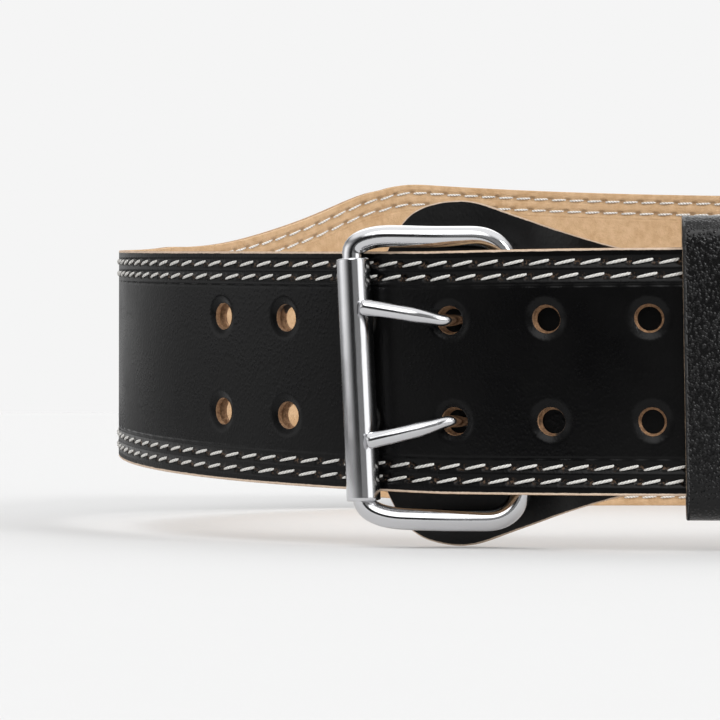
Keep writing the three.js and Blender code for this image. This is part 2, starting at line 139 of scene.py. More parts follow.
# Stitching
STITCH_PLACES = (-520, -150, 0, 35, 60, 100)
STITCH_PITCHES = (6.4, 7.1, 6.8, 6.3, 5.8, 6.2)
STITCH_AT = 4.2
STITCH_SHARE = 0.82
SECOND_ROW_LAG = 0.12
STITCH_RADIUS = 0.41
TIP_SEAM_DEPTH = 5.0
OUTER_SLANT = math.tan(math.radians(12))
INNER_SLANT = math.tan(math.radians(-4))
OUTER_ROWS = (3.3, 6.7)
INNER_ROWS = (3.0, 7.0)
OUTER_SEAM_START = 24.0
INNER_SEAM_START = 6.0

# Derived sizes
STRAP_THICK = LEATHER_THICK + LAYER_GAP + LINING_THICK
END_LAYER_DEPTH = STRAP_THICK + LAYER_GAP
FOLD_RADIUS = WIRE_RADIUS + LAYER_GAP + LEATHER_THICK / 2
HEEL_DEPTH = -(END_LAYER_DEPTH + LEATHER_THICK / 2 + FOLD_RADIUS)
ROLLER_DEPTH = ROLLER_RADIUS + LAYER_GAP
INNER_LEAF_DEPTH = -(END_LAYER_DEPTH + LEATHER_THICK + LAYER_GAP + LEATHER_THICK / 2)
FOLD_ARC = math.pi * FOLD_RADIUS
BELT_START = HEEL_OFFSET - FOLD_ARC - FOLD_LENGTH
LINING_START = HEEL_OFFSET + FOLD_LENGTH + 1

TAPER_ALONG = (0, 0.05, 0.1, 0.16, 0.23, 0.31, 0.38, 0.46, 0.53, 0.6, 0.68, 0.76, 0.88, 1)
TAPER_WIDENING = (1, 0.965, 0.9, 0.78, 0.63, 0.49, 0.385, 0.28, 0.2, 0.135, 0.085, 0.05, 0.018, 0)
RISE_FROM_BACK = (45, 70, 89.5, 101, 109, 118, 128, 138)
RISE_OF_LOWER_EDGE = (0, 1.2, 3.3, 3.9, 2.7, 1.1, 0.4, 0)
TAB_ALONG = (0, 0.012, 0.03, 0.06, 0.1, 0.145, 0.2, 0.26, 0.32, 0.37, 0.42, 0.46, 0.525, 0.59, 0.65,
             0.715, 0.78, 0.84, 0.92, 1)
TAB_HALF = (0.12, 0.25, 0.4, 0.58, 0.75, 0.89, 0.96, 0.99, 1, 0.988, 0.96, 0.935, 0.897, 0.86, 0.825,
            0.79, 0.755, 0.725, 0.69, 0.66)

TAPER_PLACES = np.array(TAPER_ALONG) * TAPER_LENGTH
TAPER_SOFTNESS = 10.0
SOFT_STEPS = np.linspace(-1, 1, 13)

# Row heights on a strap half 30 mm high, closer together by the edges
EDGE_ROWS = {-30.0, -29.4, -28.6, -26.8, -25.0, -23.2, -21.6, -20.0, 20.6, 22.2, 23.8, 25.3, 26.9, 28.6,
             29.4, 30.0}
MIDDLE_ROW_STEP = 1.56
COARSE_STEP = 3.1


def smoothstep(x, low, high):
    t = min(max((x - low) / (high - low), 0.0), 1.0)
    return t * t * (3 - 2 * t)


def mix(a, b, share):
    return a + (b - a) * share


def read(at, keys, values):
    return float(np.interp(at, keys, values))


def running(steps):
    return np.concatenate([[0], np.cumsum(steps)])


# Plan curve of the strap's outer face, with its length along the loop
ANGLES = PRONG_HOLE_ANGLE + 2 * np.pi * np.arange(7201) / 7200
CURVE_X = LOOP_HALF_WIDTH * np.cos(ANGLES)
CURVE_Y = LOOP_HALF_DEPTH * np.sin(ANGLES)
LENGTHS = running(np.hypot(np.diff(CURVE_X), np.diff(CURVE_Y)))
LOOP_LENGTH = float(LENGTHS[-1])
BACK_CENTRE = read(np.pi / 2, ANGLES, LENGTHS)
TIP_END = LOOP_LENGTH + FREE_END_LENGTH
LINING_TIP = TIP_END - 1


def angle_at(s):
    return read(s % LOOP_LENGTH, LENGTHS, ANGLES)


def softly(at, keys, values, reach):
    """A table read with its corners rounded over the given reach."""
    return float(np.mean(np.interp(at + SOFT_STEPS * reach, keys, values)))


def widening(s):
    from_back = s % LOOP_LENGTH - BACK_CENTRE
    past = max(from_back - BACK_LEFT_END, -from_back - BACK_RIGHT_END)
    return softly(past, TAPER_PLACES, TAPER_WIDENING, TAPER_SOFTNESS)


def lower_edge_rise(s):
    return softly(s % LOOP_LENGTH - BACK_CENTRE, RISE_FROM_BACK, RISE_OF_LOWER_EDGE, TAPER_SOFTNESS)


def even_half_width(s):
    back = BACK_WIDTH + BACK_NARROWING * (s % LOOP_LENGTH - BACK_CENTRE)
    return (STRAP_WIDTH + widening(s) * (back - STRAP_WIDTH)) / 2


def half_width(s):
    return even_half_width(s) - lower_edge_rise(s) / 2


def centre_height(s):
    y = LOOP_HALF_DEPTH * math.sin(angle_at(s))
    share = min(max((DROP_START_Y - y) / (DROP_START_Y - DROP_END_Y), 0), 1)
    line = BACK_WIDTH / 2 - FRONT_DROP * share**DROP_POWER
    half = even_half_width(s)
    return max(half, mix(line, half, smoothstep(widening(s), 0.9, 1))) + lower_edge_rise(s) / 2


def wrap(s, n, h, lean=LEAN):
    """Flat strap space (s along, n outward, h up from the centre) to the loop, in metres."""
    from_prongs = (s + LOOP_LENGTH / 2) % LOOP_LENGTH - LOOP_LENGTH / 2
    fade = smoothstep(LEAN_FADE - abs(from_prongs), 0, LEAN_FADE / 2)
    angle = angle_at(s - h * lean * fade)
    normal = Vector((LOOP_HALF_DEPTH * math.cos(angle), LOOP_HALF_WIDTH * math.sin(angle))).normalized()
    x = LOOP_HALF_WIDTH * math.cos(angle) + n * normal.x
    y = LOOP_HALF_DEPTH * math.sin(angle) + n * normal.y + LOOP_SHIFT_Y
    return Vector((x, y, centre_height(s) + h)) * MM


def end_layer_depth(s):
    return -END_LAYER_DEPTH * (1 - smoothstep(s - FREE_END_LENGTH - LAYER_EASE_START, 0, LAYER_EASE))


def leather_track(u, depth):
    """Where the leather runs: u along it from the end of its inner leaf, depth in from its outer face."""
    if u >= HEEL_OFFSET:
        return u, end_layer_depth(u) - depth
    if u >= HEEL_OFFSET - FOLD_ARC:
        turn = (HEEL_OFFSET - u) / FOLD_RADIUS
        radius = FOLD_RADIUS + LEATHER_THICK / 2 - depth
        return HEEL_OFFSET - radius * math.sin(turn), HEEL_DEPTH + radius * math.cos(turn)
    s = HEEL_OFFSET + (HEEL_OFFSET - FOLD_ARC - u)
    ease = smoothstep(s, HEEL_OFFSET, HEEL_OFFSET + FOLD_LENGTH * 0.5)
    middle = mix(HEEL_DEPTH - FOLD_RADIUS, INNER_LEAF_DEPTH, ease)
    return s, middle - (LEATHER_THICK / 2 - depth)


def lining_track(u, depth):
    return u, end_layer_depth(u) - LEATHER_THICK - LAYER_GAP - depth


def tip_half(u, end):
    into = max(0.0, u - (end - TIP_LENGTH))
    return max(TIP_FLAT, STRAP_WIDTH / 2 * math.sqrt(max(0.0, 1 - (into / TIP_LENGTH) ** 2)))


def leather_half(u):
    if u > LOOP_LENGTH:
        return tip_half(u, TIP_END)
    widen = smoothstep(u, HEEL_OFFSET + 3, HEEL_OFFSET + 3 + FOLD_EASE)
    return mix(FOLD_WIDTH / 2, half_width(max(u, 0)), widen)


def lining_half(u):
    return tip_half(u, LINING_TIP) if u > LOOP_LENGTH else half_width(u)


# ---- Mesh helpers ----


def as_mesh(bm, name):
    mesh = bpy.data.meshes.new(name)
    bm.to_mesh(mesh)
    bm.free()
    return mesh


def face_outward(bm):
    bmesh.ops.recalc_face_normals(bm, faces=bm.faces[:])
    bm.normal_update()


def grid(along, around, place):
    """A grid of cells whose vertex in column i and row j sits at place(i, j)."""
    bm = bmesh.new()
    bmesh.ops.create_grid(bm, x_segments=along, y_segments=around, size=1)
    for vert in bm.verts:
        vert.co = place(round((vert.co.x + 1) / 2 * along), round((vert.co.y + 1) / 2 * around))
    return bm


def round_rims(bm, radius):
    """Rounds every edge that turns by more than about 57 degrees."""
    sharp = [e for e in bm.edges if len(e.link_faces) == 2 and e.calc_face_angle() > 1.0]
    bmesh.ops.bevel(bm, geom=sharp, offset=radius, offset_type="OFFSET", segments=3, profile=0.5,
                    affect="EDGES", material=-1, clamp_overlap=True)
    bm.normal_update()


def placed(name, data):
    thing = bpy.data.objects.new(name, data)
    bpy.context.scene.collection.objects.link(thing)
    return thing


def finish_mesh(bm, name, materials, body="belt", stands_for=()):
    mesh = as_mesh(bm, name)
    for material in materials:
        mesh.materials.append(material)
    for face in mesh.polygons:
        face.use_smooth = True
    piece = placed(name, mesh)
    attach(piece, body)
    if stands_for:
        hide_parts(*stands_for)
    return piece


def sheet_grid(columns, rows):
    """A flat grid whose vertices sit at the given columns (x) and rows (z), facing -y."""
    bm = grid(len(columns) - 1, len(rows) - 1, lambda i, j: Vector((columns[i], 0, rows[j])))
    bm.normal_update()
    if bm.faces[:][0].normal.y > 0:
        bmesh.ops.reverse_faces(bm, faces=bm.faces[:])
    return bm


def rim_direction(across, up):
    """Unit direction on the round rim for a vertex on the edge of the square window round a hole."""
    if abs(across) >= abs(up):
        turn = math.pi / 4 * up / across + (math.pi if across < 0 else 0)
    else:
        turn = math.pi / 2 - math.pi / 4 * across / up + (math.pi if up < 0 else 0)
    return Vector((math.cos(turn), 0, math.sin(turn)))


def within(co, centre, reach):
    return abs(co.x - centre.x) < reach and abs(co.z - centre.z) < reach


def punch_holes(bm, radii):
    """Opens each prong hole: its cells are deleted and the window's edge is drawn in ring by ring."""
    reach = HOLE_CELLS / 2 * FINE_STEP
    for column in HOLE_COLUMNS:
        for side in (-1, 1):
            centre = Vector((LOOP_LENGTH + column * HOLE_PITCH, 0, side * HOLE_ROW_SPACING / 2 + HOLE_RISE))
            inside = [f for f in bm.faces if within(f.calc_center_median(), centre, reach)]
            bmesh.ops.delete(bm, geom=inside, context="FACES")
            edge = [e for e in bm.edges if e.is_boundary
                    and all(within(v.co, centre, reach * 1.01) for v in e.verts)]
            for ring, radius in enumerate(radii):
                made = bmesh.ops.extrude_edge_only(bm, edges=edge)["geom"]
                edge = [g for g in made if isinstance(g, bmesh.types.BMEdge) and g.is_boundary]
                for vert in [g for g in made if isinstance(g, bmesh.types.BMVert)]:
                    off = vert.co - centre
                    way = rim_direction(off.x, off.z) if ring == 0 else off.normalized()
                    vert.co = centre + way * radius


def thicken(bm, thickness, bevel):
    """Gives the sheet its thickness inward (+y) and rounds its cut edges."""
    made = bmesh.ops.extrude_face_region(bm, geom=bm.faces[:])
    moved = [v for v in made["geom"] if isinstance(v, bmesh.types.BMVert)]
    bmesh.ops.translate(bm, verts=moved, vec=Vector((0, thickness, 0)))
    face_outward(bm)
    round_rims(bm, bevel)


def strap_columns(start, tip_end):
    """Columns along a strap: fine where the holes are, and at the rounded tip."""
    fine_start = LOOP_LENGTH - 4 * HOLE_PITCH
    fine_end = LOOP_LENGTH + HOLE_COLUMNS[-1] * HOLE_PITCH + HOLE_CELLS / 2 * FINE_STEP
    coarse = max(1, round((fine_start - start) / COARSE_STEP))
    columns = list(np.linspace(start, fine_start, coarse, endpoint=False))
    columns += list(np.arange(fine_start, fine_end + 0.01, FINE_STEP))
    turn = np.linspace(0, math.pi / 2, 15)
    tip = [tip_end - TIP_LENGTH + TIP_LENGTH * TIP_REACH * math.sin(a) for a in turn]
    return columns + [c for c in tip if c > fine_end + 0.5]


def strap_rows():
    """Row heights as shares of the half width, with cells centred on the two rows of holes."""
    heights = set(EDGE_ROWS)
    for side in (-1, 1):
        centre = side * HOLE_ROW_SPACING / 2 + HOLE_RISE
        heights |= {round(centre + k * FINE_STEP, 4) for k in range(-HOLE_CELLS // 2, HOLE_CELLS // 2 + 1)}
    heights |= {round(HOLE_RISE + k * MIDDLE_ROW_STEP, 3) for k in range(-3, 4)}
    return sorted(h / (STRAP_WIDTH / 2) for h in heights)


PLACES = np.arange(-LOOP_LENGTH, FREE_END_LENGTH + TIP_LENGTH, 1.0)
COUNTS = running(1 / np.interp(PLACES[:-1], STITCH_PLACES, STITCH_PITCHES))
COUNTS = COUNTS - np.interp(STITCH_AT, PLACES, COUNTS) + 0.5


def stitch_count(u):
    """Stitches sewn up to u, counted from the prong holes."""
    return read(u - LOOP_LENGTH, PLACES, COUNTS)


def stitch_place(count):
    return read(count, COUNTS, PLACES) + LOOP_LENGTH


# The seam goes round the tip on a radius that lets a whole number of stitches meet at its middle
SHOULDER = TIP_END - TIP_LENGTH
TIP_STITCHES = round(stitch_count(SHOULDER + (TIP_LENGTH - TIP_SEAM_DEPTH) * math.pi / 2))
TIP_SEAM_RADIUS = (stitch_place(TIP_STITCHES) - SHOULDER) / (math.pi / 2)


def edge_point(run, inset, half_of, tip_end):
    """Place at a run along the strap's edge and an inset from it; past the tip's shoulder it goes round."""
    shoulder = tip_end - TIP_LENGTH
    if run <= shoulder:
        return run, half_of(run) - inset
    turn = (run - shoulder) / TIP_SEAM_RADIUS
    return shoulder + (TIP_LENGTH - inset) * math.sin(turn), (TIP_LENGTH - inset) * math.cos(turn)


def seam_place(u, h, half_of, tip_end):
    """The run along the edge and the inset from it of a place on the strap."""
    shoulder = tip_end - TIP_LENGTH
    if u <= shoulder:
        return u, half_of(u) - abs(h)
    turn = math.atan2(u - shoulder, abs(h))
    return shoulder + turn * TIP_SEAM_RADIUS, TIP_LENGTH - math.hypot(u - shoulder, h)


def seam_uv(bm, half_of, tip_end):
    """UV layers in strap space: along and up in metres, and distance from the edge with stitch count."""
    flat = bm.loops.layers.uv.new("strap")
    seam = bm.loops.layers.uv.new("seam")
    for face in bm.faces:
        for loop in face.loops:
            u, h = loop.vert.co.x, loop.vert.co.z
            run, inset = seam_place(u, h, half_of, tip_end)
            loop[flat].uv = (u * MM, h * MM)
            loop[seam].uv = (stitch_count(run), inset / 10)


def from_hole(u, h):
    """Distance from the centre of the nearest prong hole."""
    column = min(HOLE_COLUMNS, key=lambda k: abs(u - LOOP_LENGTH - k * HOLE_PITCH))
    side = 1 if h > HOLE_RISE else -1
    return math.hypot(u - LOOP_LENGTH - column * HOLE_PITCH, h - side * HOLE_ROW_SPACING / 2 - HOLE_RISE)


def dish(u, h):
    """How far the leather sinks towards the nearest prong hole."""
    return DISH_DEPTH * (1 - smoothstep(from_hole(u, h), HOLE_RADIUS * DISH_FROM, HOLE_RADIUS * DISH_TO))


def build_strap(name, track, half_of, start, tip_end, thickness, bevel, hole_radius, materials, stands_for):
    half_cache = {}

    def half(u):
        key = round(u, 3)
        if key not in half_cache:
            half_cache[key] = half_of(u)
        return half_cache[key]

    bm = sheet_grid(strap_columns(start, tip_end), [r * STRAP_WIDTH / 2 for r in strap_rows()])
    punch_holes(bm, HOLE_RINGS + (hole_radius,))
    slots = [f for f in bm.faces if slot_cell(f.calc_center_median())] if name == "strap_leather" else []
    if slots:
        bmesh.ops.delete(bm, geom=slots, context="FACES")
    thicken(bm, thickness, bevel)
    for vert in bm.verts:
        vert.co.z *= half(vert.co.x) / (STRAP_WIDTH / 2)
    seam_uv(bm, half, tip_end)
    is_lining = hole_radius < HOLE_RADIUS
    for face in bm.faces:
        centre = face.calc_center_median()
        outer_edge = abs(centre.z) > (1 - 2 / STRAP_WIDTH) * half(centre.x)
        by_hole = from_hole(centre.x, centre.z) < hole_radius + (1.2 if is_lining else 0.4)
        face.material_index = 0 if face.normal.y < (-0.86 if outer_edge else -0.3) else 1
        # Faces in and beside the prong holes take the hole-wall material, with its painted shade.
        if by_hole and (face.material_index == 1 or is_lining) and face.normal.y < 0.5:
            face.material_index = 2
    for vert in bm.verts:
        depth = vert.co.y + dish(vert.co.x, vert.co.z) * (1 - vert.co.y / thickness)
        s, n = track(vert.co.x, depth)
        vert.co = wrap(s, n, vert.co.z)
    return finish_mesh(bm, name, materials, stands_for=stands_for)


def slot_cell(centre):
    """Cells of the fold that the prongs' eyes pass through."""
    near_fold = HEEL_OFFSET - FOLD_ARC - PRONG_SLOT_BEFORE < centre.x < HEEL_OFFSET + PRONG_SLOT_PAST
    height = PRONG_HEEL_HEIGHT * STRAP_WIDTH / FOLD_WIDTH
    shift = HOLE_RISE * STRAP_WIDTH / FOLD_WIDTH
    return near_fold and abs(abs(centre.z - shift) - height) < PRONG_SLOT_HALF


def skin(along, around, place, closed_along=False):
    """A surface with one vertex ring per step: a grid whose seam is merged, then turned outward."""
    def at(i, j):
        return place((i % along if closed_along else i) / along, (j % around) / around)

    bm = grid(along, around, at)
    bmesh.ops.remove_doubles(bm, verts=bm.verts[:], dist=SEAM_MERGE)
    face_outward(bm)
    return bm


# ---- Materials ----


class Nodes:
    """A small hand for wiring a node tree, which it starts empty."""

    def __init__(self, tree):
        tree.nodes.clear()
        self.tree = tree

    def add(self, kind, inputs=None, **settings):
        node = self.tree.nodes.new(kind)
        for key, value in settings.items():
            setattr(node, key, value)
        for key, value in (inputs or {}).items():
            self.feed(node.inputs[key], value)
        return node

    def feed(self, socket, value):
        if isinstance(value, bpy.types.NodeSocket):
            self.tree.links.new(value, socket)
        else:
            socket.default_value = value

    def math(self, operation, a, b=0.0, clamp=False):
        return self.add("ShaderNodeMath", {0: a, 1: b}, operation=operation, use_clamp=clamp).outputs[0]

    def ramp(self, value, low, high, to_low=0.0, to_high=1.0):
        span = {"Value": value, "From Min": low, "From Max": high, "To Min": to_low, "To Max": to_high}
        return self.add("ShaderNodeMapRange", span, interpolation_type="SMOOTHSTEP").outputs[0]

    def plus(self, a, b, clamp=False):
        return self.math("ADD", a, b, clamp)

    def minus(self, a, b):
        return self.math("SUBTRACT", a, b)

    def times(self, a, b):
        return self.math("MULTIPLY", a, b)

    def apart(self, a, b):
        return self.math("ABSOLUTE", self.minus(a, b))

    def vector(self, operation, a, b):
        return self.add("ShaderNodeVectorMath", {0: a, 1: b}, operation=operation).outputs[0]

    def uv(self, layer):
        return self.add("ShaderNodeUVMap", uv_map=layer).outputs[0]

    def group(self, tree, inputs):
        return self.add("ShaderNodeGroup", inputs, node_tree=tree).outputs

    def split(self, vector):
        return self.add("ShaderNodeSeparateXYZ", {0: vector}).outputs

    def noise(self, vector, scale, detail=3.0, roughness=0.55):
        return self.add("ShaderNodeTexNoise", {"Vector": vector, "Scale": scale, "Detail": detail,
                                               "Roughness": roughness}).outputs["Fac"]

    def blend(self, share, a, b, kind="MIX"):
        return self.add("ShaderNodeMix", {0: share, 6: a, 7: b}, data_type="RGBA", blend_type=kind).outputs[2]

    def bump(self, height, distance, strength=1.0, normal=None):
        node = self.add("ShaderNodeBump", {"Height": height, "Distance": distance, "Strength": strength})
        if normal is not None:
            self.feed(node.inputs["Normal"], normal)
        return node.outputs["Normal"]


KINDS = {"Vector": "Vector", "Seam": "Vector", "Stretch": "Vector", "Color": "Color", "Light": "Color",
         "Dark": "Color", "Tint": "Color"}


def new_group(name, inputs, outputs):
    """A node group; its sockets are plain values unless their label has another kind."""
    tree = bpy.data.node_groups.new(name, "ShaderNodeTree")
    for side, labels in (("INPUT", inputs), ("OUTPUT", outputs)):
        for label in labels:
            kind = "NodeSocket" + KINDS.get(label, "Float")
            socket = tree.interface.new_socket(name=label, in_out=side, socket_type=kind)
            if side == "INPUT" and inputs[label] is not None:
                socket.default_value = inputs[label]
    hand = Nodes(tree)
    given = tree.nodes.new("NodeGroupInput").outputs
    result = tree.nodes.new("NodeGroupOutput").inputs
    return tree, hand, given, result


def grain_group():
    """Leather grain: small rounded pebbles broken up by noise, with a few longer creases."""
    tree, hand, given, result = new_group(
        "leather_grain",
        {"Vector": None, "Pebble Scale": 900.0, "Crease": 0.4}, ["Height", "Variation"])
    warp = hand.add("ShaderNodeTexNoise", {"Vector": given["Vector"], "Scale": 260.0, "Detail": 2.0})
    shifted = hand.vector("SUBTRACT", warp.outputs["Color"], (0.5, 0.5, 0.5))
    scaled = hand.add("ShaderNodeVectorMath", {0: shifted, "Scale": 0.0011}, operation="SCALE")
    moved = hand.vector("MULTIPLY", hand.vector("ADD", given["Vector"], scaled.outputs[0]), (1.0, 1.0, 0.7))
    cells = hand.add("ShaderNodeTexVoronoi", {"Vector": moved, "Scale": given["Pebble Scale"],
                                              "Smoothness": 0.35}, feature="SMOOTH_F1")
    pebble = hand.ramp(cells.outputs["Distance"], 0.0, 0.62, 1.0, 0.0)
    fine = hand.noise(given["Vector"], 1500.0, 2.0)
    broad = hand.noise(given["Vector"], 55.0, 4.0)
    crease = hand.ramp(hand.apart(broad, 0.5), 0.0, 0.03)
    height = hand.plus(hand.times(pebble, 0.75), hand.times(fine, 0.2))
    hand.feed(result["Height"], hand.plus(height, hand.times(crease, given["Crease"])))
    hand.feed(result["Variation"], broad)
    return tree


def seam_group():
    """Relief beside the stitching: a shallow trough under each row and a pit where the thread goes in."""
    tree, hand, given, result = new_group(
        "seam_relief",
        {"Seam": None, "First Row": 0.33, "Second Row": 0.67, "Phase": 0.5}, ["Height", "Pit"])
    split = hand.split(given["Seam"])
    across = split["Y"]
    troughs, pits = [], []
    for row, lag in (("First Row", 0.0), ("Second Row", SECOND_ROW_LAG)):
        shifted = hand.plus(split["X"], hand.minus(given["Phase"], lag))
        from_gap = hand.apart(hand.math("FRACT", shifted), 0.5)
        pit_along = hand.ramp(from_gap, 0.05, 0.26, 1.0, 0.0)
        off = hand.apart(across, given[row])
        troughs.append(hand.ramp(off, 0.02, 0.17, 1.0, 0.0))
        pits.append(hand.times(hand.ramp(off, 0.0, 0.12, 1.0, 0.0), pit_along))
    inner = hand.apart(across, 0.9)
    pucker = hand.times(hand.ramp(inner, 0.0, 0.06, 1.0, 0.0), hand.ramp(from_gap, 0.0, 0.45, 0.6, 0.25))
    trough = hand.math("MAXIMUM", troughs[0], troughs[1])
    pit = hand.math("MAXIMUM", pits[0], pits[1])
    depth = hand.plus(hand.times(trough, 0.35), hand.times(pit, 0.65))
    depth = hand.plus(depth, hand.times(pucker, 0.22))
    hand.feed(result["Height"], hand.minus(1.0, depth))
    hand.feed(result["Pit"], pit)
    return tree


def wear_group():
    """Fine rubbing and specks, used on leather and on metal alike."""
    tree, hand, given, result = new_group(
        "fine_wear",
        {"Vector": None, "Scale": 120.0, "Stretch": (1.0, 1.0, 8.0)}, ["Scratch", "Smudge"])
    lines = hand.noise(hand.vector("MULTIPLY", given["Vector"], given["Stretch"]), given["Scale"], 6.0, 0.7)
    hand.feed(result["Scratch"], hand.ramp(lines, 0.55, 0.75))
    hand.feed(result["Smudge"], hand.noise(given["Vector"], 34.0, 3.0))
    return tree


def hide_group():
    """Black dyed hide: its uneven shade, and duller where it is rubbed."""
    tree, hand, given, result = new_group(
        "black_hide",
        {"Variation": 0.5, "Scratch": 0.0, "Dullness": 0.3}, ["Color", "Roughness"])
    hand.feed(result["Color"], hand.blend(given["Variation"], (0.0010, 0.0010, 0.0013, 1),
                                          (0.0028, 0.0027, 0.0027, 1)))
    rough = hand.plus(hand.times(given["Variation"], 0.16), given["Dullness"])
    hand.feed(result["Roughness"], hand.plus(rough, hand.times(given["Scratch"], 0.06)))
    return tree


def raw_edge_group():
    """The pale undyed line along the edge of a black hide."""
    tree, hand, given, result = new_group(
        "raw_edge",
        {"Vector": None, "Seam": None, "Width": 0.05, "Color": None, "Roughness": 0.3},
        ["Color", "Roughness"])
    across = hand.split(given["Seam"])["Y"]
    ragged = hand.times(hand.noise(given["Vector"], 420.0, 4.0, 0.7), -0.035)
    past = hand.minus(hand.plus(across, ragged), given["Width"])
    raw = hand.ramp(past, -0.022, -0.010, 1.0, 0.0)
    fibres = hand.noise(given["Vector"], 900.0, 4.0, 0.7)
    fibres = hand.blend(fibres, (0.50, 0.36, 0.26, 1), (0.86, 0.70, 0.56, 1))
    hand.feed(result["Color"], hand.blend(raw, given["Color"], fibres))
    hand.feed(result["Roughness"], hand.plus(given["Roughness"], hand.times(raw, 0.45), clamp=True))
    return tree


def fibre_group():
    """Raw cut leather: pale fibres, darker where dye has run in."""
    tree, hand, given, result = new_group(
        "cut_fibres",
        {"Vector": None, "Light": None, "Dark": None, "Dye From": 0.6}, ["Color", "Roughness", "Height"])
    fibres = hand.noise(given["Vector"], 900.0, 5.0, 0.7)
    broad = hand.noise(given["Vector"], 120.0, 3.0)
    shade = hand.blend(hand.ramp(fibres, 0.3, 0.7), given["Dark"], given["Light"])
    dye = hand.ramp(hand.minus(broad, given["Dye From"]), 0.0, 0.1)
    hand.feed(result["Color"], hand.blend(dye, shade, (0.03, 0.022, 0.018, 1)))
    hand.feed(result["Roughness"], hand.ramp(fibres, 0.0, 1.0, 0.75, 0.95))
    hand.feed(result["Height"], fibres)
    return tree


def plating_group():
    """Chrome plating: faintly smudged, with a slow ripple from the bent wire below."""
    tree, hand, given, result = new_group(
        "plating",
        {"Vector": None, "Scratch": 0.0, "Smudge": 0.5, "Tint": None, "Polish": 0.1},
        ["Color", "Roughness", "Ripple"])
    hand.feed(result["Color"], hand.blend(given["Smudge"], given["Tint"], (0.9, 0.9, 0.9, 1), "MULTIPLY"))
    rough = hand.times(hand.plus(given["Scratch"], given["Smudge"]), 0.10)
    hand.feed(result["Roughness"], hand.plus(rough, given["Polish"]))
    hand.feed(result["Ripple"], hand.noise(given["Vector"], 60.0, 2.0))
    return tree


GRAIN = grain_group()
SEAM = seam_group()
WEAR = wear_group()
HIDE = hide_group()
RAW_EDGE = raw_edge_group()
FIBRES = fibre_group()
PLATING = plating_group()


def new_material(name):
    material = bpy.data.materials.new(name)
    material.use_nodes = True
    hand = Nodes(material.node_tree)
    shader = hand.add("ShaderNodeBsdfPrincipled")
    hand.add("ShaderNodeOutputMaterial", {0: shader.outputs[0]})
    coords = hand.add("ShaderNodeTexCoord").outputs["Object"]
    return material, hand, shader, coords


def dress(hand, shader, color, roughness, normal):
    hand.feed(shader.inputs["Base Color"], color)
    hand.feed(shader.inputs["Roughness"], roughness)
    hand.feed(shader.inputs["Normal"], normal)


def seam_relief(hand, rows):
    """The relief along two rows of stitches, given as distances from the edge."""
    return hand.group(SEAM, {"Seam": hand.uv("seam"), "First Row": rows[0] / 10, "Second Row": rows[1] / 10})


def make_black_leather(name, pebble, depth, roughness, gloss, crease=0.3, raw_edge=0.0, stitched=False):
    material, hand, shader, coords = new_material(name)
    grain = hand.group(GRAIN, {"Vector": coords, "Pebble Scale": pebble, "Crease": crease})
    wear = hand.group(WEAR, {"Vector": coords, "Scale": 90.0, "Stretch": (1.0, 1.0, 5.0)})
    hide = hand.group(HIDE, {"Variation": grain["Variation"], "Scratch": wear["Scratch"],
                             "Dullness": roughness - 0.08})
    shade, rough = hide["Color"], hide["Roughness"]
    normal = hand.bump(grain["Height"], depth, 0.8)
    if stitched:
        relief = seam_relief(hand, OUTER_ROWS)
        normal = hand.bump(relief["Height"], 0.0009, 1.0, normal)
        fleck = hand.ramp(hand.noise(coords, 1700.0, 2.0), 0.50, 0.62, 0.0, 0.8)
        shade = hand.blend(hand.times(relief["Pit"], fleck), shade, (0.13, 0.08, 0.05, 1))
    if raw_edge:
        edge = hand.group(RAW_EDGE, {"Vector": coords, "Seam": hand.uv("seam"), "Width": raw_edge / 10,
                                     "Color": shade, "Roughness": rough})
        shade, rough = edge["Color"], edge["Roughness"]
    dress(hand, shader, shade, rough, normal)
    shader.inputs["Specular IOR Level"].default_value = gloss
    return material


def make_cut_edge(name, light, dark, dye_from):
    material, hand, shader, coords = new_material(name)
    fibres = hand.group(FIBRES, {"Vector": coords, "Light": light, "Dark": dark, "Dye From": dye_from})
    dress(hand, shader, fibres["Color"], fibres["Roughness"], hand.bump(fibres["Height"], 0.0003, 0.7))
    return material


def make_suede():
    material, hand, shader, coords = new_material("suede")
    relief = seam_relief(hand, INNER_ROWS)
    nap = hand.noise(coords, 1400.0, 4.0, 0.75)
    clumps = hand.noise(coords, 330.0, 4.0, 0.6)
    brushed = hand.noise(coords, 26.0, 3.0, 0.5)
    shade = hand.blend(hand.ramp(clumps, 0.25, 0.75), (0.50, 0.315, 0.165, 1), (0.65, 0.445, 0.265, 1))
    shade = hand.blend(hand.ramp(brushed, 0.35, 0.7, 0.0, 0.25), shade, (0.70, 0.50, 0.32, 1))
    # Painted shade: the suede is darkened in the pit where each stitch goes in.
    shade = hand.blend(hand.times(relief["Pit"], 0.5), shade, (0.25, 0.15, 0.08, 1))
    height = hand.plus(hand.times(nap, 0.5), hand.times(clumps, 0.5))
    normal = hand.bump(height, 0.0005, 0.8)
    normal = hand.bump(relief["Height"], 0.0010, 0.9, normal)
    dress(hand, shader, shade, hand.ramp(nap, 0.0, 1.0, 0.85, 1.0), normal)
    shader.inputs["Sheen Weight"].default_value = 0.35
    shader.inputs["Sheen Roughness"].default_value = 0.5
    shader.inputs["Sheen Tint"].default_value = (0.9, 0.75, 0.6, 1)
    shader.inputs["Specular IOR Level"].default_value = 0.15
    return material


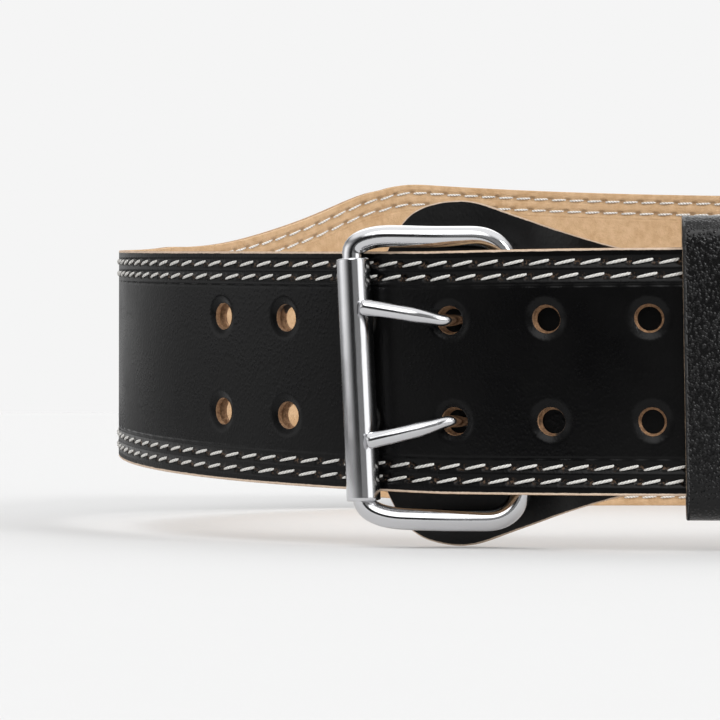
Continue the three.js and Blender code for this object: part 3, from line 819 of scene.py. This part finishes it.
def make_thread():
    material, hand, shader, coords = new_material("thread")
    split = hand.split(hand.uv("thread"))
    turns = hand.plus(hand.times(split["X"], 5.0), hand.times(split["Y"], 2.0))
    wave = hand.math("SINE", hand.times(turns, 2 * math.pi))
    ply = hand.ramp(wave, -1.0, 1.0)
    grime = hand.noise(coords, 240.0, 2.0)
    # Painted shade: the thread is darker in the grooves between its twisted plies; the grime below is dirt.
    shade = hand.blend(ply, (0.64, 0.62, 0.585, 1), (0.86, 0.85, 0.82, 1))
    shade = hand.blend(hand.ramp(grime, 0.5, 0.8, 0.0, 0.4), shade, (0.50, 0.46, 0.40, 1))
    dress(hand, shader, shade, hand.ramp(ply, 0.0, 1.0, 0.85, 0.6), hand.bump(ply, 0.0002, 0.8))
    return material


def make_chrome(name, stretch, tint, roughness):
    material, hand, shader, coords = new_material(name)
    wear = hand.group(WEAR, {"Vector": coords, "Scale": 260.0, "Stretch": stretch})
    plating = hand.group(PLATING, {"Vector": coords, "Scratch": wear["Scratch"], "Smudge": wear["Smudge"],
                                   "Tint": tint, "Polish": roughness - 0.05})
    normal = hand.bump(plating["Ripple"], 0.00012, 0.6)
    normal = hand.bump(wear["Scratch"], 0.00002, 0.5, normal)
    dress(hand, shader, plating["Color"], plating["Roughness"], normal)
    shader.inputs["Metallic"].default_value = 1.0
    return material


BLACK_LEATHER = make_black_leather("black_leather", 1300.0, 0.00004, 0.28, 0.15, raw_edge=0.55, stitched=True)
TAB_LEATHER = make_black_leather("tab_leather", 1100.0, 0.00006, 0.42, 0.3, raw_edge=0.31)
KEEPER_LEATHER = make_black_leather("keeper_leather", 1550.0, 0.00028, 0.21, 0.32, crease=0.04)
CUT_EDGE = make_cut_edge("cut_edge", (0.56, 0.36, 0.21, 1), (0.27, 0.155, 0.08, 1), 0.70)
# Hole walls: cut fibres in darker tones, partly more dye run in, partly painted shade inside the prong holes.
SHADED_HOLE_WALL = make_cut_edge("dyed_and_shaded_hole_wall", (0.46, 0.27, 0.145, 1), (0.19, 0.10, 0.05, 1), 0.58)
PALE_EDGE = make_cut_edge("pale_edge", (0.60, 0.45, 0.32, 1), (0.33, 0.22, 0.14, 1), 0.82)
KEEPER_EDGE = make_cut_edge("keeper_edge", (0.55, 0.40, 0.27, 1), (0.12, 0.08, 0.05, 1), 0.5)
SUEDE = make_suede()
THREAD = make_thread()
FRAME_CHROME = make_chrome("frame_chrome", (1.0, 1.0, 1.0), (0.66, 0.66, 0.675, 1), 0.11)
ROLLER_CHROME = make_chrome("roller_chrome", (1.0, 1.0, 0.08), (0.64, 0.64, 0.655, 1), 0.14)
PRONG_CHROME = make_chrome("prong_chrome", (1.0, 1.0, 1.0), (0.66, 0.66, 0.675, 1), 0.12)


# ---- Leather and lining ----

build_strap("strap_leather", leather_track, leather_half, BELT_START, TIP_END, LEATHER_THICK,
            LEATHER_EDGE_ROUND, HOLE_RADIUS, [BLACK_LEATHER, CUT_EDGE, SHADED_HOLE_WALL], ("belt_leather",))
build_strap("strap_lining", lining_track, lining_half, LINING_START, LINING_TIP, LINING_THICK,
            LINING_EDGE_ROUND, LINING_HOLE_RADIUS, [CUT_EDGE, SUEDE, SHADED_HOLE_WALL], ("belt_lining",))


# ---- Stitching ----


def stitch_template():
    """One stitch: a short thread that rises out of its hole, lies over the leather and dives again."""
    bm = bmesh.new()
    rings, sides = 6, 6
    bmesh.ops.create_cone(bm, cap_ends=True, segments=sides, radius1=1, radius2=1, depth=2)
    long_edges = [e for e in bm.edges if abs(e.verts[0].co.z - e.verts[1].co.z) > 1]
    bmesh.ops.subdivide_edges(bm, edges=long_edges, cuts=rings - 1)
    uv = bm.loops.layers.uv.new("thread")
    for face in bm.faces:
        for loop in face.loops:
            co = loop.vert.co
            loop[uv].uv = (co.z / 2 + 0.5, math.atan2(co.y, co.x) / (2 * math.pi) + 0.5)
    for vert in bm.verts:
        x, y, t = vert.co
        swell = 1 - 0.35 * abs(t) ** 3 + 0.14 * t
        lift = 0.42 * (1 - abs(t) ** 2.6) - 0.2
        vert.co = Vector((t / 2, -(lift + y * STITCH_RADIUS * swell * 0.85), x * STITCH_RADIUS * swell))
    return as_mesh(bm, "stitch_template")


def sew(name, rows, start, tip_end, half_of, track, face_depth, outward, slant):
    """Rows of stitches along both edges, on the strap's outer or inner face."""
    template = stitch_template()
    bm = bmesh.new()
    first = math.ceil(stitch_count(start))
    last = round(stitch_count(tip_end - TIP_LENGTH + TIP_SEAM_RADIUS * math.pi / 2))
    for k in range(first, last):
        for row, lag in zip(rows, (0, SECOND_ROW_LAG)):
            centre = stitch_place(k + 0.5 + lag)
            length = (stitch_place(k + 1.5) - stitch_place(k + 0.5)) * STITCH_SHARE
            for side in (-1, 1):
                count = len(bm.verts)
                bm.from_mesh(template)
                bm.verts.ensure_lookup_table()
                wobble = math.sin(k * 12.9898 + row * 78.233 + side) * 0.09
                for vert in bm.verts[count:]:
                    run = centre + vert.co.x * length + wobble
                    up = vert.co.z + (run - centre) * slant
                    depth = face_depth + vert.co.y * (1 if outward else -1)
                    u, h = edge_point(run, row - side * up, half_of, tip_end)
                    s, n = track(u, depth)
                    vert.co = wrap(s, n, side * h)
    bpy.data.meshes.remove(template)
    if not outward:
        bmesh.ops.reverse_faces(bm, faces=bm.faces[:])
    return finish_mesh(bm, name, [THREAD])


sew("stitches_outer", OUTER_ROWS, HEEL_OFFSET + OUTER_SEAM_START, TIP_END, leather_half, leather_track,
    0.0, True, OUTER_SLANT)
sew("stitches_inner", INNER_ROWS, LINING_START + INNER_SEAM_START, LINING_TIP, lining_half, lining_track,
    LINING_THICK, False, INNER_SLANT)


# ---- Tab behind the buckle ----


def tab_half(share):
    smooth = [read(share + d, TAB_ALONG, TAB_HALF) for d in (-0.02, -0.01, 0, 0.01, 0.02)]
    plain = read(share, TAB_ALONG, TAB_HALF)
    return mix(plain, sum(smooth) / 5, smoothstep(share, 0.03, 0.12)) * TAB_HEIGHT / 2


def tab_depth(s):
    """Outer face of the tab: against the strap at its free end, behind the fold at the heel bar."""
    lean_shift = FOLD_WIDTH / 2 * LEAN + LAYER_GAP
    fold_face = HEEL_DEPTH - FOLD_RADIUS - LEATHER_THICK / 2 - LAYER_GAP
    leaf_face = INNER_LEAF_DEPTH - LEATHER_THICK / 2 - LAYER_GAP
    nose = HEEL_OFFSET - FOLD_RADIUS - LEATHER_THICK / 2 - lean_shift
    if s > nose:
        ease = smoothstep(s - lean_shift, HEEL_OFFSET, HEEL_OFFSET + FOLD_LENGTH * 0.5)
        return mix(fold_face, leaf_face, ease)
    return mix(fold_face, -STRAP_THICK - LAYER_GAP, smoothstep(nose - s, 0, nose - TAB_START))


def build_tab():
    shares = [0, 0.006, 0.012, 0.02, 0.03, 0.042] + list(np.linspace(0.055, 1, 70))
    rows = [-1, -0.985, -0.95] + list(np.linspace(-0.9, 0.9, 25)) + [0.95, 0.985, 1]
    bm = sheet_grid([TAB_START + share * TAB_LENGTH for share in shares], [r * 30 for r in rows])
    for vert in bm.verts:
        vert.co.z *= tab_half((vert.co.x - TAB_START) / TAB_LENGTH) / 30
    thicken(bm, TAB_THICK, TAB_EDGE_ROUND)
    seam_uv(bm, lambda s: tab_half((s - TAB_START) / TAB_LENGTH), LOOP_LENGTH)
    for face in bm.faces:
        face.material_index = 0 if face.normal.y < -0.8 else 1
    for vert in bm.verts:
        vert.co = wrap(vert.co.x, tab_depth(vert.co.x) - vert.co.y, vert.co.z, 0)
    return finish_mesh(bm, "buckle_tab_leather", [TAB_LEATHER, PALE_EDGE], stands_for=("buckle_tab",))


build_tab()


# ---- Buckle ----


def frame_outline():
    """Rounded rectangle in strap space: s and h of the frame's centre line, evenly spaced."""
    mid_s = (ROLLER_OFFSET + HEEL_OFFSET) / 2
    half_s = (HEEL_OFFSET - ROLLER_OFFSET) / 2
    half_h = FRAME_INNER_HEIGHT / 2 + WIRE_RADIUS
    points = []
    for side_s, side_h, start in ((1, 1, 0), (-1, 1, 90), (-1, -1, 180), (1, -1, 270)):
        wide, high = HEEL_CORNER if side_s > 0 else ROLLER_CORNER
        for i in range(13):
            angle = math.radians(start + 7.5 * i)
            points.append((mid_s + side_s * (half_s - wide) + wide * math.cos(angle),
                           side_h * (half_h - high) + high * math.sin(angle)))
    points.append(points[0])
    steps = running([math.dist(a, b) for a, b in zip(points, points[1:])])
    even = np.linspace(0, steps[-1], FRAME_STEPS + 1)[:-1]
    along_s, along_h = zip(*points)
    return [(read(t, steps, along_s), read(t, steps, along_h)) for t in even]


def tube_along(path, radius_at, closed):
    """A round tube along world points, with its sections square to the run."""
    count = len(path)
    frames = []
    for i, point in enumerate(path):
        before = path[(i - 1) % count] if closed or i else path[0]
        after = path[(i + 1) % count] if closed or i < count - 1 else path[-1]
        run = (after - before).normalized()
        side = Vector((0.0, -1.0, 0.0)) if closed else Vector((0.0, 0.0, 1.0))
        first = (side - run * side.dot(run)).normalized()
        frames.append((point, first, run.cross(first)))

    def place(along, around):
        i = round(along * count) % count if closed else round(along * (count - 1))
        point, first, second = frames[i]
        turn = 2 * math.pi * around
        return point + (first * math.cos(turn) + second * math.sin(turn)) * radius_at(i) * MM

    return skin(count if closed else count - 1, WIRE_SIDES, place, closed_along=closed)


def build_frame():
    path = []
    for s, h in frame_outline():
        share = (s - ROLLER_OFFSET) / (HEEL_OFFSET - ROLLER_OFFSET)
        path.append(wrap(s, mix(ROLLER_DEPTH, HEEL_DEPTH, share), h - BUCKLE_DROP))
    for _ in range(3):
        path = [(path[i - 1] + path[i] * 2 + path[(i + 1) % len(path)]) / 4 for i in range(len(path))]
    bm = tube_along(path, lambda i: WIRE_RADIUS, True)
    return finish_mesh(bm, "frame_wire", [FRAME_CHROME], stands_for=("buckle_frame",))


def bar_axis(s, n):
    return wrap(s, n, 0), (wrap(s, n, 1) - wrap(s, n, -1)).normalized()


def turned(profile, centre, axis, steps):
    """A profile of (radius, height) points spun round an axis."""
    bm = bmesh.new()
    side = axis.orthogonal().normalized()
    verts = [bm.verts.new(centre + (side * r + axis * z) * MM) for r, z in profile]
    edges = [bm.edges.new((a, b)) for a, b in zip(verts, verts[1:])]
    bmesh.ops.spin(bm, geom=verts + edges, cent=centre, axis=axis, dvec=(0, 0, 0), angle=2 * math.pi,
                   steps=steps, use_merge=True)
    bmesh.ops.remove_doubles(bm, verts=bm.verts[:], dist=SEAM_MERGE)
    face_outward(bm)
    return bm


def ring_profile(inner, outer, half, edge):
    """Closed wall section with rounded outer corners."""
    lip, side, top = inner + edge / 2, outer - edge, half - edge
    turn = (0.4, 0.8, 1.2, math.pi / 2)
    points = [(lip, -half), (side, -half)]
    points += [(side + edge * math.sin(a), -top - edge * math.cos(a)) for a in turn]
    points += [(outer, z) for z in np.linspace(edge - top, top - edge, 9)]
    points += [(side + edge * math.cos(a), top + edge * math.sin(a)) for a in (0,) + turn]
    return points + [(lip, half), (inner, half - edge / 2), (inner, edge / 2 - half), (lip, -half)]


def build_roller():
    centre, axis = bar_axis(ROLLER_OFFSET, ROLLER_DEPTH)
    centre = centre + axis * (-BUCKLE_DROP - ROLLER_SLIDE) * MM
    profile = ring_profile(WIRE_RADIUS + ROLLER_CLEARANCE, ROLLER_RADIUS, ROLLER_LENGTH / 2, 0.45)
    bm = turned(profile, centre, axis, 96)
    return finish_mesh(bm, "roller_tube", [ROLLER_CHROME], body="roller", stands_for=("roller",))


def prong_path(side):
    reach = ROLLER_RADIUS + PRONG_TIP_RADIUS + PRONG_REST_GAP
    rest = math.radians(PRONG_REST_DEG)
    tip_s = ROLLER_OFFSET + reach * math.cos(rest)
    tip_n = ROLLER_DEPTH + reach * math.sin(rest)
    hole = HOLE_ROW_SPACING / 2
    stops = [
        (HEEL_OFFSET - FOLD_RADIUS * 0.82, HEEL_DEPTH + FOLD_RADIUS * 0.24, PRONG_HEEL_HEIGHT),
        (HEEL_OFFSET - FOLD_RADIUS * 1.69, HEEL_DEPTH + FOLD_RADIUS * 0.77, PRONG_HEEL_HEIGHT * 1.066),
        (HOLE_RADIUS * 0.486, -STRAP_THICK * 1.2, hole),
        (HOLE_RADIUS * 0.058, -STRAP_THICK * 0.5, hole),
        (-HOLE_RADIUS * 0.372, STRAP_THICK * 0.2, hole),
        (tip_s * 0.27, tip_n * 0.38, mix(hole, PRONG_TIP_HEIGHT, 0.25)),
        (tip_s * 0.63, tip_n * 0.73, mix(hole, PRONG_TIP_HEIGHT, 0.63)),
        (tip_s, tip_n, PRONG_TIP_HEIGHT),
    ]
    points = []
    for s, n, h in stops:
        drop = (HOLE_RISE + PRONG_TIP_DROP) * min(max(s / tip_s, 0), 1)
        points.append(wrap(s, n, side * h + HOLE_RISE - drop))
    return even_points(points)


def timed(a, b, start, end, t):
    return a * ((end - t) / (end - start)) + b * ((t - start) / (end - start))


def even_points(points):
    """Evenly spaced points on a centripetal Catmull-Rom curve through the given ones."""
    full = [points[0] * 2 - points[1]] + points + [points[-1] * 2 - points[-2]]
    dense = []
    for p0, p1, p2, p3 in zip(full, full[1:], full[2:], full[3:]):
        t0 = 0.0
        t1 = t0 + (p1 - p0).length ** 0.5
        t2 = t1 + (p2 - p1).length ** 0.5
        t3 = t2 + (p3 - p2).length ** 0.5
        for share in np.linspace(0, 1, 24, endpoint=False):
            t = t1 + (t2 - t1) * share
            a1, a2, a3 = timed(p0, p1, t0, t1, t), timed(p1, p2, t1, t2, t), timed(p2, p3, t2, t3, t)
            dense.append(timed(timed(a1, a2, t0, t2, t), timed(a2, a3, t1, t3, t), t1, t2, t))
    dense.append(points[-1])
    steps = running([(b - a).length for a, b in zip(dense, dense[1:])])
    even = np.linspace(0, steps[-1], PRONG_POINTS)
    columns = [np.interp(even, steps, [p[k] for p in dense]) for k in range(3)]
    return [Vector((float(x), float(y), float(z))) for x, y, z in zip(*columns)]


BLUNT_END = ((1.0, 1.0), (0.5, 0.97), (0.22, 0.9), (0.08, 0.8), (0.02, 0.66), (0.0, 0.0))


def build_prong(name, node, side):
    path = prong_path(side)
    tip = path[-1]
    way = (path[-1] - path[-3]).normalized()
    path = path[:-2] + [tip - way * back * MM for back, _ in BLUNT_END]
    count = len(path)

    def radius(i):
        blunt = i - (count - len(BLUNT_END))
        if blunt >= 0:
            return PRONG_TIP_RADIUS * BLUNT_END[blunt][1]
        swell = smoothstep(i / (count - 1), 0.42, 0.62)
        return mix(PRONG_NECK_RADIUS, PRONG_TIP_RADIUS, swell) if i else 0.0

    shaft = tube_along(path, radius, False)
    centre, axis = bar_axis(HEEL_OFFSET, HEEL_DEPTH)
    centre = centre + axis * (side * PRONG_HEEL_HEIGHT + HOLE_RISE) * MM
    inner = WIRE_RADIUS + EYE_CLEARANCE
    eye = turned(ring_profile(inner, inner + EYE_WALL, PRONG_WIDTH_AT_HEEL / 2, 0.3), centre, axis, 48)
    mesh = as_mesh(eye, "eye")
    shaft.from_mesh(mesh)
    bpy.data.meshes.remove(mesh)
    return finish_mesh(shaft, name, [PRONG_CHROME], stands_for=(node,))


build_frame()
build_roller()
build_prong("prong_wire_upper", "prong_upper", 1)
build_prong("prong_wire_lower", "prong_lower", -1)


# ---- Keeper ----


def build_keeper():
    """A wide leather band round the strap, folded to a soft round at its top and bottom."""
    mid_n = -(END_LAYER_DEPTH + STRAP_THICK) / 2
    corner = (END_LAYER_DEPTH + STRAP_THICK) / 2 + LAYER_GAP + KEEPER_THICK
    straight = KEEPER_HEIGHT / 2 - corner
    section = []
    for sign in (1, -1):
        turns = [math.pi / 16 * i for i in range(17)]
        section += [(sign * math.cos(a), sign * math.sin(a), sign * straight) for a in turns]
        section += [(-sign, 0.0, sign * straight * (1 - 2 * share)) for share in np.linspace(0, 1, 14)[1:-1]]
    by_rim = [0, 0.4, 1.0]
    columns = by_rim + list(np.linspace(2.5, KEEPER_LENGTH - 2.5, 15))
    columns += [KEEPER_LENGTH - c for c in by_rim[::-1]]

    def place(i, j):
        cos, sin, middle = section[j % len(section)]
        return Vector((KEEPER_START + columns[i], mid_n + corner * cos, middle + corner * sin + KEEPER_RISE))

    bm = grid(len(columns) - 1, len(section), place)
    bmesh.ops.remove_doubles(bm, verts=bm.verts[:], dist=1e-5)
    face_outward(bm)
    if sum(f.normal.y * (f.calc_center_median().y - mid_n) for f in bm.faces) < 0:
        bmesh.ops.reverse_faces(bm, faces=bm.faces[:])
    bmesh.ops.solidify(bm, geom=bm.faces[:], thickness=KEEPER_THICK)
    face_outward(bm)
    round_rims(bm, LEATHER_EDGE_ROUND)
    for face in bm.faces:
        face.material_index = 1 if abs(face.normal.x) > 0.75 else 0
    for vert in bm.verts:
        vert.co = wrap(vert.co.x, vert.co.y, vert.co.z)
    bmesh.ops.reverse_faces(bm, faces=bm.faces[:])
    return finish_mesh(bm, "keeper_band", [KEEPER_LEATHER, KEEPER_EDGE], stands_for=("keeper",))


build_keeper()


# ---- Table, light and camera ----

CAMERA_X = -96.6
CAMERA_Y = -815.5 + LOOP_SHIFT_Y
CAMERA_Z = 35.6
FOCAL_PIXELS = 2733.0
PICTURE_PIXELS = 720.0
HORIZON_PIXEL = 405.0
SENSOR = 36.0
BACKDROP = 0.913
TABLE_ALBEDO = 0.50
OFF_CAMERA_SHADE_FROM = 0.42
OFF_CAMERA_SHADE_TO = 0.60
TABLE_GLOW = 0.226
TABLE_HALF = 12.0

# Light by direction: degrees round from the camera's side, then softness and strength
LEFT_WALL_FROM = 28.0
LEFT_WALL_FULL = 92.0
LEFT_WALL = 1.5
WALLS = ((-8, 26, 2, 0.25), (30, 66, 4, 1.7), (70, 184, 4, 0.55))
WALL_TOP = (0.30, 0.62)
OVERHEAD_FROM = (0.45, 0.80)
OVERHEAD = 1.2
FILL = 0.02
PANELS = (((-0.15, -0.75, 0.65), 14, 24, 2.6), ((0.62, -0.56, 0.55), 6, 8, 20.0),
          ((0.0, 0.75, 0.66), 20, 34, 1.0))


def build_stage():
    material, hand, shader, coords = new_material("table")
    fine = hand.noise(coords, 40.0, 3.0)
    low, high = TABLE_ALBEDO - 0.003, TABLE_ALBEDO + 0.003
    # Away from the belt the table is painted dark for every ray but the camera's: painted shade in what the
    # leather and chrome reflect and in the light bounced up. Its glow is painted light that softens the
    # shadows under the belt.
    away = hand.add("ShaderNodeVectorMath", {0: coords}, operation="LENGTH").outputs["Value"]
    far = hand.ramp(away, OFF_CAMERA_SHADE_FROM, OFF_CAMERA_SHADE_TO)
    seen = hand.add("ShaderNodeLightPath").outputs["Is Camera Ray"]
    off_camera_shade = hand.times(far, hand.minus(1.0, seen))
    paper = hand.blend(fine, (low, low, low, 1), (high, high, high, 1))
    hand.feed(shader.inputs["Base Color"], hand.blend(off_camera_shade, paper, (0.05, 0.05, 0.05, 1)))
    hand.feed(shader.inputs["Emission Color"], hand.blend(off_camera_shade, (1, 1, 1, 1), (0.1, 0.1, 0.1, 1)))
    hand.feed(shader.inputs["Roughness"], hand.ramp(fine, 0.0, 1.0, 0.9, 1.0))
    shader.inputs["Specular IOR Level"].default_value = 0.0
    shader.inputs["Emission Strength"].default_value = TABLE_GLOW
    bm = bmesh.new()
    bmesh.ops.create_grid(bm, x_segments=2, y_segments=2, size=TABLE_HALF)
    mesh = as_mesh(bm, "table")
    mesh.materials.append(material)
    table = placed("table", mesh)


def build_light():
    """A white room, darker behind the camera, with a bright panel to the right and a broad one overhead."""
    world = bpy.data.worlds.new("studio")
    bpy.context.scene.world = world
    world.use_nodes = True
    hand = Nodes(world.node_tree)
    way = hand.add("ShaderNodeTexCoord").outputs["Generated"]
    split = hand.split(way)
    turn = hand.math("ARCTAN2", split["X"], hand.times(split["Y"], -1.0))
    walls = hand.ramp(turn, math.radians(-LEFT_WALL_FULL), math.radians(-LEFT_WALL_FROM), LEFT_WALL, 0.0)
    walls = hand.times(walls, hand.ramp(turn, math.radians(-125), math.radians(-85), 0.33, 1.0))
    for low, high, soft, strength in WALLS:
        rise = hand.ramp(turn, math.radians(low - soft), math.radians(low + soft))
        fall = hand.ramp(turn, math.radians(high - soft), math.radians(high + soft), 1.0, 0.0)
        walls = hand.plus(walls, hand.times(hand.times(rise, fall), strength))
    side = hand.ramp(split["Z"], *WALL_TOP, 1.0, 0.0)
    top = hand.ramp(split["Z"], *OVERHEAD_FROM, 0.0, OVERHEAD)
    total = hand.plus(hand.times(walls, side), top)
    for direction, tight, wide, strength in PANELS:
        unit = tuple(Vector(direction).normalized())
        near = hand.add("ShaderNodeVectorMath", {0: way, 1: unit}, operation="DOT_PRODUCT").outputs["Value"]
        low_cos, high_cos = math.cos(math.radians(wide)), math.cos(math.radians(tight))
        total = hand.plus(total, hand.ramp(near, low_cos, high_cos, 0.0, strength))
    total = hand.plus(total, FILL)
    seen = hand.add("ShaderNodeLightPath").outputs["Is Camera Ray"]
    light = hand.add("ShaderNodeBackground", {"Color": (1, 1, 1, 1), "Strength": total}).outputs[0]
    grey = (BACKDROP, BACKDROP, BACKDROP, 1)
    plain = hand.add("ShaderNodeBackground", {"Color": grey, "Strength": 1.0}).outputs[0]
    both = hand.add("ShaderNodeMixShader", {0: seen, 1: light, 2: plain}).outputs[0]
    hand.add("ShaderNodeOutputWorld", {0: both})


def build_camera():
    data = bpy.data.cameras.new("camera")
    data.sensor_width = SENSOR
    data.lens = FOCAL_PIXELS / PICTURE_PIXELS * SENSOR
    camera = placed("camera", data)
    pitch = math.atan((HORIZON_PIXEL - PICTURE_PIXELS / 2) / FOCAL_PIXELS)
    camera.location = Vector((CAMERA_X, CAMERA_Y, CAMERA_Z)) * MM
    camera.rotation_euler = (math.pi / 2 + pitch, 0, 0)
    bpy.context.scene.camera = camera


build_stage()
build_light()
build_camera()
bpy.context.scene.view_settings.view_transform = "Standard"
